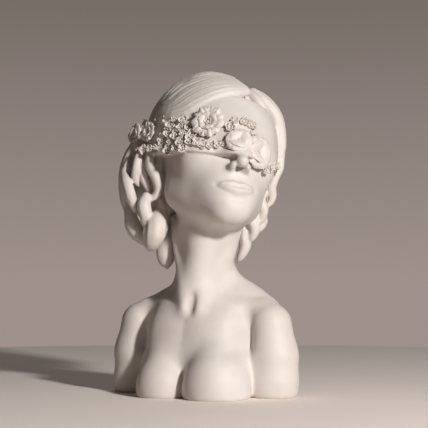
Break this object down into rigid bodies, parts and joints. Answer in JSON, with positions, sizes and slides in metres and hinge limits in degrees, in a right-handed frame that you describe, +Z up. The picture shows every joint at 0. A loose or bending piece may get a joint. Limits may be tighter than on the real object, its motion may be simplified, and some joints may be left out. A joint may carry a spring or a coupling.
{
  "type": "bust",
  "caption": "Cast female bust: raised, turned head with a wavy bob and a flower-trimmed blindfold, bare shoulders, cut off flat below the breast.",
  "frame": {"origin": "on the flat underside, on the torso's mid-plane and midway between the arms' axes", "axes": "+Z up through the neck, -Y out of the chest, +X toward the figure's left arm"},
  "size_m": [0.1803, 0.157, 0.29],
  "materials": {
    "cast_stone": "matte"
  },
  "bodies": {
    "root": {"bust": "cast_stone"}
  },
  "joints": []
}
